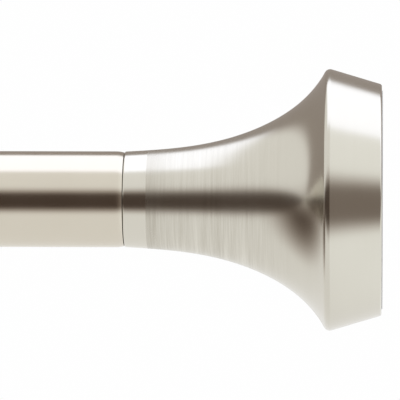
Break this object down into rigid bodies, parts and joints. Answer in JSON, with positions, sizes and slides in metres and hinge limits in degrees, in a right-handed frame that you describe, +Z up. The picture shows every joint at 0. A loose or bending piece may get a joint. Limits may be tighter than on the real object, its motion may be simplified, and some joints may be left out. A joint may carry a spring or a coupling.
{
  "type": "tension curtain rod",
  "caption": "Telescoping satin nickel curtain rod held between two walls by sprung trumpet-shaped wall brackets with rubber pads, with a twist lock inside the tubes.",
  "frame": {"origin": "centre of the right bracket's rubber wall face, the plane that the right wall touches", "axes": "+X along the rod, out of the right wall face; +Z up; +Y away from the viewer"},
  "size_m": [0.66, 0.0698, 0.0698],
  "materials": {
    "satin_nickel": "satin nickel plate over spun steel, with fine brushing round the axis; smooth on the tubes and the first few millimetres of the neck",
    "pad_rubber": "soft matte grey non-marking rubber with concentric grip grooves",
    "white_nylon": "natural moulded nylon, faint flow texture",
    "black_polymer": "black glass-filled nylon with a fine moulded grain",
    "zinc_plated_steel": "bright zinc plate over turned steel",
    "brass": "turned brass with a knurled outside",
    "zinc_casting": "tumbled zinc die casting, dull grey",
    "spring_steel": "oiled spring steel wire and strip",
    "shoe_rubber": "hard friction rubber with cross ribs"
  },
  "bodies": {
    "right_flange": {"right_wall_pad": "pad_rubber", "right_pad_plate": "white_nylon", "right_flange_shell": "satin_nickel", "right_flange_core": "black_polymer", "right_plate_screw_1": "zinc_plated_steel", "right_plate_screw_2": "zinc_plated_steel", "right_plate_screw_3": "zinc_plated_steel"},
    "outer_tube": {"outer_tube": "satin_nickel", "outer_tube_collar": "satin_nickel", "outer_tube_end_plug": "black_polymer", "outer_tube_plug_insert": "brass", "right_pivot_bolt": "zinc_plated_steel", "right_pivot_washer": "white_nylon"},
    "lock_carriage": {"lock_housing": "black_polymer"},
    "upper_lock_shoe": {"upper_lock_shoe": "shoe_rubber"},
    "lower_lock_shoe": {"lower_lock_shoe": "shoe_rubber"},
    "lock_shaft": {"plunger_shaft": "zinc_plated_steel", "lock_cam": "zinc_casting", "shaft_clip": "spring_steel", "spring_push_nut": "spring_steel", "spring_washer": "zinc_plated_steel", "main_spring": "spring_steel"},
    "inner_tube": {"inner_tube": "satin_nickel", "guide_bush": "white_nylon", "spring_stop": "zinc_casting", "inner_tube_end_plug": "black_polymer", "inner_tube_plug_insert": "brass", "left_pivot_bolt": "zinc_plated_steel", "left_pivot_washer": "white_nylon"},
    "left_flange": {"left_wall_pad": "pad_rubber", "left_pad_plate": "white_nylon", "left_flange_shell": "satin_nickel", "left_flange_core": "black_polymer", "left_plate_screw_1": "zinc_plated_steel", "left_plate_screw_2": "zinc_plated_steel", "left_plate_screw_3": "zinc_plated_steel"}
  },
  "joints": [
    {"name": "right_bracket_swivel", "type": "hinge", "parent": "right_flange", "child": "outer_tube", "pos_m": [-0.06815, 0, 0], "axis": [1, 0, 0], "continuous": true},
    {"name": "telescope", "type": "slide", "parent": "outer_tube", "child": "lock_carriage", "axis": [-1, 0, 0], "range_m": [0, 0.305]},
    {"name": "twist_lock", "type": "hinge", "parent": "lock_carriage", "child": "lock_shaft", "pos_m": [-0.125, 0, 0], "axis": [1, 0, 0], "range_deg": [0, 90]},
    {"name": "upper_shoe_slide", "type": "slide", "parent": "lock_carriage", "child": "upper_lock_shoe", "axis": [0, 0, 1], "range_m": [0, 0.0009]},
    {"name": "lower_shoe_slide", "type": "slide", "parent": "lock_carriage", "child": "lower_lock_shoe", "axis": [0, 0, -1], "range_m": [0, 0.0009]},
    {"name": "spring_compression", "type": "slide", "parent": "lock_shaft", "child": "inner_tube", "axis": [1, 0, 0], "range_m": [0, 0.02], "stiffness_N_per_m": 2500, "springref_m": -0.01, "deforming": ["main_spring"]},
    {"name": "left_bracket_swivel", "type": "hinge", "parent": "inner_tube", "child": "left_flange", "pos_m": [-0.59185, 0, 0], "axis": [1, 0, 0], "continuous": true}
  ],
  "couplings": [
    {"joint": "upper_shoe_slide", "follows": "twist_lock", "m_per_rad": 0.00057296},
    {"joint": "lower_shoe_slide", "follows": "twist_lock", "m_per_rad": 0.00057296}
  ]
}
